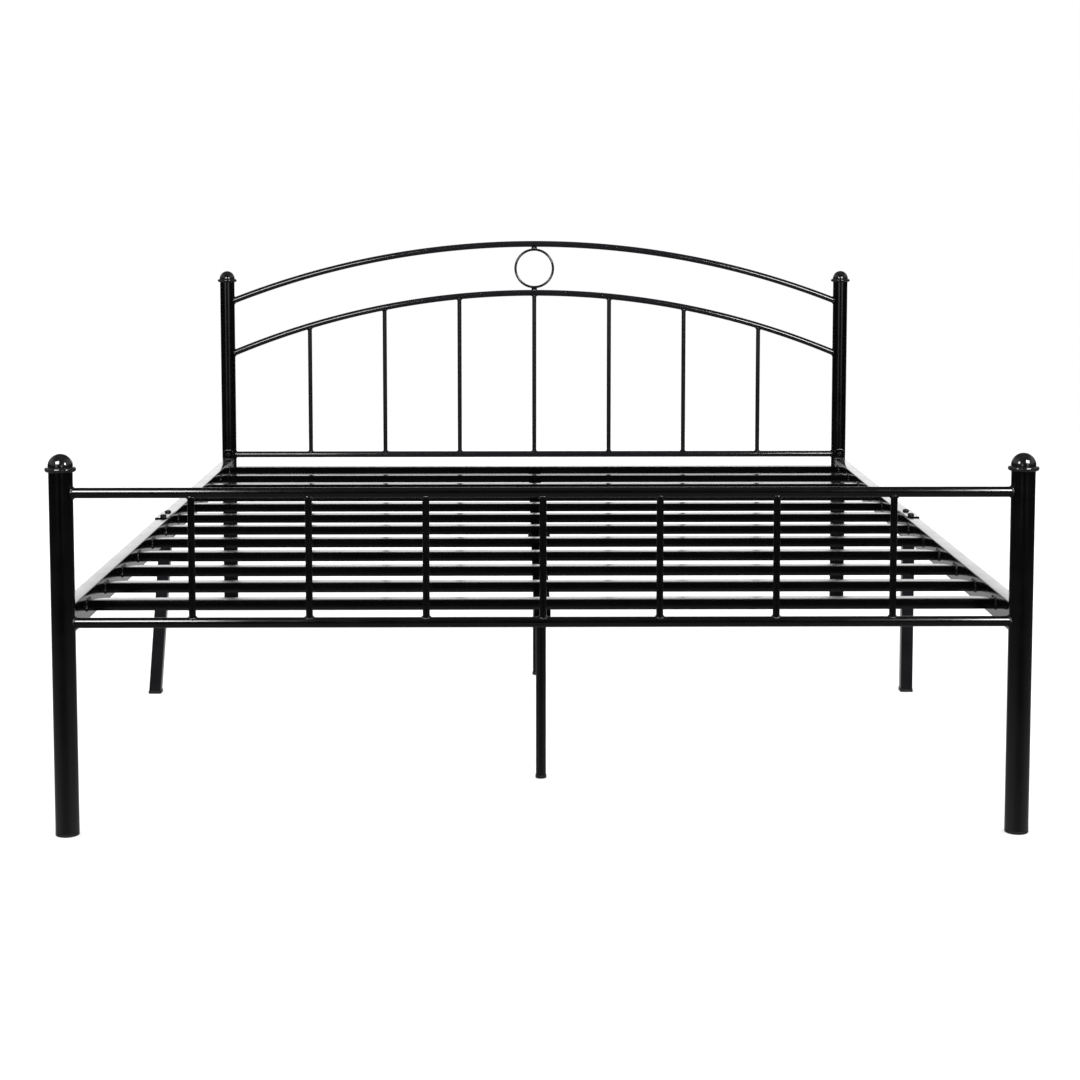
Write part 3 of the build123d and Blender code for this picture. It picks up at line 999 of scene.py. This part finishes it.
def bolt_head():
    """A button head on the origin: a low rim, a rounded shoulder and a flat top with a hexagon socket."""
    profile = [(pole, 0), (bolt_head_radius, 0)]
    shoulder = bolt_head_radius - bolt_top_radius
    rise = bolt_head_height - bolt_rim_height
    for step in range(bolt_shoulder_steps + 1):
        turn = pi / 2 * step / bolt_shoulder_steps
        profile.append((bolt_top_radius + shoulder * cos(turn), bolt_rim_height + rise * sin(turn)))
    rings = [[(u, v, height) for u, v in circle(radius, bolt_segments)] for radius, height in profile]
    for height in (bolt_head_height, bolt_head_height - socket_depth):
        rings.append([(u, v, height) for u, v in hexagon(socket_across_flats, bolt_segments)])
    return skin(rings)


def bolt_shank():
    """A shank of unit length that runs down from the origin, with an eased tip."""
    layers = ((bolt_radius, 0), (bolt_radius, shank_ease - 1), (bolt_radius * shank_taper, -1))
    return skin([[(u, v, height) for u, v in circle(radius, shank_segments)] for radius, height in layers])


seat_marks = {"direction": "FLOAT_VECTOR", "length": "FLOAT", "headed": "BOOLEAN"}


def fastener_tree():
    """Heads and shanks on seats: each seat has a direction, a shank length and a mark for a head."""
    tree, given = new_tree(
        "fasteners_on_seats",
        {"Geometry": "Geometry", "Head": "Object", "Shank": "Object", "Material": "Material"},
    )
    named = {}
    for name, kind in seat_marks.items():
        mark = add_node(tree, "GeometryNodeInputNamedAttribute", {"Name": name}, data_type=kind)
        named[name] = mark.outputs["Attribute"]
    turn = add_node(
        tree, "FunctionNodeAlignRotationToVector", {"Vector": named["direction"]}, axis="Z"
    )
    stretch = add_node(tree, "ShaderNodeCombineXYZ", {"X": 1, "Y": 1, "Z": named["length"]})
    sets = []
    for shape, choice in (
        ("Head", {"Selection": named["headed"]}),
        ("Shank", {"Scale": stretch.outputs["Vector"]}),
    ):
        source = add_node(tree, "GeometryNodeObjectInfo", {"Object": given[shape]})
        placed = {
            "Points": given["Geometry"],
            "Instance": source.outputs["Geometry"],
            "Rotation": turn.outputs["Rotation"],
            **choice,
        }
        sets.append(add_node(tree, "GeometryNodeInstanceOnPoints", placed).outputs["Instances"])
    joined = add_node(tree, "GeometryNodeJoinGeometry")
    for instances in sets:
        tree.links.new(instances, joined.inputs["Geometry"])
    return end_tree(tree, joined.outputs["Geometry"], given["Material"])


def grow_fasteners(name, seats, head, shank, node):
    """Make fasteners on seats of (point, direction, shank length, headed), as one piece for a node."""
    points = bpy.data.meshes.new(name)
    points.from_pydata([seat[0] for seat in seats], [], [])
    for place, (label, kind) in enumerate(seat_marks.items(), start=1):
        key = "vector" if kind == "FLOAT_VECTOR" else "value"
        for item, seat in zip(points.attributes.new(label, kind, "POINT").data, seats):
            setattr(item, key, seat[place])
    shapes = {
        "Head": bpy.data.objects.new("head", mesh_of("head", [head])),
        "Shank": bpy.data.objects.new("shank", mesh_of("shank", [shank])),
    }
    fasteners = grow(name, points, on_seats, {**shapes, "Material": bolt_steel[0]})
    for shape in shapes.values():
        bpy.data.objects.remove(shape)
    fit(fasteners, bolt_steel, [node])


bolt_steel = (blackened_steel(), "bolt_steel")
on_seats = fastener_tree()
angle_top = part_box("joining_angle_right")[1].z
beam_low, beam_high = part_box("centre_beam_front")
beam_middle_z = (beam_low.z + beam_high.z) / 2
joint_grip = angle_top - leg_plates_low.z
channel_width = channel_high.x - channel_low.x
end_bolt_heights = (rail_high.z + end_bolt_offset, rail_low.z - end_bolt_offset)
bolt_seats = []
nut_seats = []
for x in (-foot_post.x, foot_post.x):
    for height in end_bolt_heights:
        bolt_seats.append(((x, plates_low.y + plate_thickness, height), (0, 1, 0), end_bolt_length, True))
        bolt_seats.append(((x, plates_high.y - plate_thickness, height), (0, -1, 0), end_bolt_length, True))
    for y in (joint_y - joint_bolt_spacing / 2, joint_y + joint_bolt_spacing / 2):
        bolt_seats.append(((x, y, angle_top), (0, 0, 1), joint_grip + nut_height + bolt_tip, True))
        nut_seats.append(((x, y, leg_plates_low.z), (0, 0, 1), nut_height, False))
for y in (joint_y - beam_bolt_spacing / 2, joint_y + beam_bolt_spacing / 2):
    grip = channel_width + nut_height + bolt_tip
    bolt_seats.append(((channel_low.x, y, beam_middle_z), (-1, 0, 0), grip, True))
    nut_seats.append(((channel_high.x, y, beam_middle_z), (-1, 0, 0), nut_height, False))
for place in ("front", "rear"):
    middle = middle_of(f"centre_leg_{place}")
    stud_top = beam_low.z - stud_depth + stud_length
    bolt_seats.append(((middle.x, middle.y, stud_top), (0, 0, 1), stud_length, False))
grow_fasteners("bolts", bolt_seats, bolt_head(), bolt_shank(), "frame_bolts")

# Nuts
# Plain hexagon nuts of blackened steel, under the leg plates and on one side of the beam channel.
nut_across_flats = 13 * MM
nut_chamfer = 0.08
nut_corner_reach = 1.09


def nut_body():
    """A nut of unit height that runs down from the origin, with its corners turned off."""
    rings = []
    layers = (
        (0, 1),
        (-nut_chamfer, nut_corner_reach),
        (nut_chamfer - 1, nut_corner_reach),
        (-1, 1),
    )
    for height, limit in layers:
        ring = []
        for u, v in hexagon(nut_across_flats, bolt_segments):
            share = min(1, limit * nut_across_flats / 2 / sqrt(u**2 + v**2))
            ring.append((u * share, v * share, height))
        rings.append(ring)
    return skin(rings)


grow_fasteners("nuts", nut_seats, bolt_head(), nut_body(), "frame_nuts")

# Studio
# A white paper sweep, lit evenly from the ceiling. The tubes mirror a room that is bright low behind
# the bed, dim beside it and dark in front, apart from two light strips. Two soft boxes add highlights.
floor_radius = 6.0
floor_fade = 3.0
floor_segments = 96
strip_place = 0.42
strip_glow = (2.4, 2.4, 2.4, 1)
white = (1, 1, 1, 1)


def white_sweep():
    """Pale matt paper, fading out towards its edge."""
    material, tree, place = new_material("white_studio_paper")
    away = add_node(tree, "ShaderNodeVectorMath", {0: place}, operation="LENGTH").outputs["Value"]
    fade = add_node(
        tree, "ShaderNodeMapRange", {"Value": away, "From Min": floor_fade, "From Max": floor_radius}
    )
    paper = add_node(tree, "ShaderNodeBsdfDiffuse", {"Color": linear("#f4f4f3")})
    clear = add_node(tree, "ShaderNodeBsdfTransparent")
    mixed = add_node(
        tree,
        "ShaderNodeMixShader",
        {"Fac": fade.outputs["Result"], 1: paper.outputs["BSDF"], 2: clear.outputs["BSDF"]},
    )
    add_node(tree, "ShaderNodeOutputMaterial", {"Surface": mixed.outputs["Shader"]})
    return material


floor_mesh = bpy.data.meshes.new("floor")
floor_points = [(u, v, 0) for u, v in circle(floor_radius, floor_segments)]
floor_mesh.from_pydata(floor_points, [], [tuple(range(floor_segments))])
floor_mesh.materials.append(white_sweep())
floor = new_object("floor", floor_mesh)
floor.visible_glossy = False

world = bpy.data.worlds.new("studio_room")
bpy.context.scene.world = world
world.use_nodes = True
room = world.node_tree
room.nodes.clear()
direction = add_node(room, "ShaderNodeTexCoord").outputs["Generated"]
split = add_node(room, "ShaderNodeSeparateXYZ", {"Vector": direction}).outputs
height = add_node(room, "ShaderNodeMapRange", {"Value": split["Z"], "From Min": -1, "From Max": 1})


def room_levels(stops):
    """Brightness of the room by how steep a direction is, from -1 straight down to 1 straight up."""
    levels = add_node(room, "ShaderNodeValToRGB", {"Fac": height.outputs["Result"]})
    ramp = levels.color_ramp.elements
    while len(ramp) < len(stops):
        ramp.new(1)
    for stop, (steepness, level) in zip(ramp, stops.items()):
        stop.position = (steepness + 1) / 2
        stop.color = (level, level, level, 1)
    return levels.outputs["Color"]


in_front = {
    -1: 0.2, -0.5: 0.14, -0.33: 0.42, -0.28: 0.22, -0.25: 0.06,
    -0.2: 0.006, 0.25: 0.015, 0.75: 0.04, 0.9: 0.1, 1: 0.18,
}
beside = {
    -1: 0.3, -0.5: 0.3, -0.3: 0.5, -0.255: 0.26, -0.2: 0.07, -0.15: 0.015,
    0.1: 0.02, 0.22: 0.6, 0.5: 0.7, 0.85: 0.4, 1: 0.18,
}
behind = {
    -1: 0.2, -0.34: 0.3, -0.24: 0.55, -0.18: 0.68, -0.14: 0.55, -0.07: 0.1,
    0.03: 0.05, 0.1: 1.95, 0.2: 1.95, 0.33: 0.02, 1: 0.18,
}
sideways = add_node(room, "ShaderNodeMath", {0: split["X"]}, operation="ABSOLUTE").outputs["Value"]
from_strip = add_node(room, "ShaderNodeMath", {0: sideways, 1: strip_place}, operation="SUBTRACT")
off_strip = add_node(room, "ShaderNodeMath", {0: from_strip.outputs["Value"]}, operation="ABSOLUTE")
# Each part of the room fades in with a value, from where there is none of it to where it is full.
shares = {}
for part, value, none, full in (
    ("beside", sideways, 0.3, 0.9),
    ("behind", split["Y"], 0.8, 0.93),
    ("strips", off_strip.outputs["Value"], 0.18, 0.05),
    ("over strip foot", split["Z"], -0.115, 0.015),
    ("under strip top", split["Z"], 0.45, 0.15),
):
    feeds = {"Value": value, "From Min": none, "From Max": full}
    share = add_node(room, "ShaderNodeMapRange", feeds, interpolation_type="SMOOTHSTEP")
    shares[part] = share.outputs["Result"]
ahead = add_node(room, "ShaderNodeMath", {0: split["Y"], 1: 0}, operation="LESS_THAN").outputs["Value"]
strips = shares["strips"]
for share in (shares["over strip foot"], shares["under strip top"], ahead):
    strips = add_node(room, "ShaderNodeMath", {0: strips, 1: share}, operation="MULTIPLY").outputs["Value"]
colour = room_levels(in_front)
for share, level in (
    (shares["beside"], room_levels(beside)),
    (shares["behind"], room_levels(behind)),
    (strips, strip_glow),
    (add_node(room, "ShaderNodeLightPath").outputs["Is Camera Ray"], white),
):
    feeds = {"Factor": share, "A": colour, "B": level}
    colour = add_node(room, "ShaderNodeMix", feeds, data_type="RGBA").outputs["Result"]
backdrop = add_node(room, "ShaderNodeBackground", {"Color": colour, "Strength": 1})
add_node(room, "ShaderNodeOutputWorld", {"Surface": backdrop.outputs["Background"]})


def soft_box(name, place, aim, width, height, radiance):
    """A rectangular soft box that faces a point."""
    light = bpy.data.lights.new(name, "AREA")
    light.shape = "RECTANGLE"
    light.size, light.size_y = width, height
    light.energy = radiance * pi * width * height
    box = new_object(name, light)
    box.location = place
    box.rotation_euler = (Vector(aim) - Vector(place)).to_track_quat("-Z", "Y").to_euler()
    return box


def light_only(box, pieces):
    """Let a soft box reach these pieces alone."""
    reached = bpy.data.collections.new(f"reached_by_{box.name}")
    for piece in pieces:
        reached.objects.link(piece)
    box.light_linking.receiver_collection = reached


# Flat faces would mirror a whole soft box at once, so the two in front are kept off them.
flat_pieces = ("slat", "rail_front", "rail_rear", "beam", "joint_angle")
meshes = [piece for piece in bpy.context.scene.objects if piece.type == "MESH"]
left_box = soft_box(
    "left_soft_box", place=(-1.35, -2.3, 1.72), aim=(-1.35, -0.6, 0.4), width=1, height=0.82, radiance=28
)
right_box = soft_box(
    "right_soft_box", place=(1.73, -2.45, 1.81), aim=(1.73, -0.6, 0.4), width=1.1, height=0.9, radiance=40
)
for box in (left_box, right_box):
    box.visible_diffuse = False
    light_only(box, [piece for piece in meshes if not piece.name.startswith(flat_pieces)])

# The fill lifts the thin tubes of the headboard and the side legs from black to a dark grey.
filled_pieces = (
    "headboard_upper", "headboard_lower", "headboard_rail", "headboard_spindles", "headboard_ring", "leg_"
)
fill = soft_box("fill_light", place=(0, -3, 3), aim=(0, 1, 0.7), width=2, height=2, radiance=130)
light_only(fill, [piece for piece in meshes if piece.name.startswith(filled_pieces)])
ceiling = soft_box("ceiling_light", place=(0, 0, 5), aim=(0, 0, 0), width=16, height=16, radiance=1.72)
for box in (fill, ceiling):
    box.visible_glossy = False
    box.data.use_shadow = False

# Camera
# The photograph's view: from the foot end, a little above the headboard, with the lens shifted so
# that the uprights stay nearly parallel.
pitch = 5.0
yaw = 0.5785
lens = bpy.data.cameras.new("camera")
lens.sensor_width = 36
lens.lens = 69.27
lens.shift_y = -0.1479
camera = new_object("camera", lens)
camera.location = (-0.0407, -4.5359, 1.0929)
camera.rotation_euler = (radians(90 - pitch), 0, radians(-yaw))
bpy.context.scene.camera = camera
bpy.context.scene.view_settings.view_transform = "Standard"
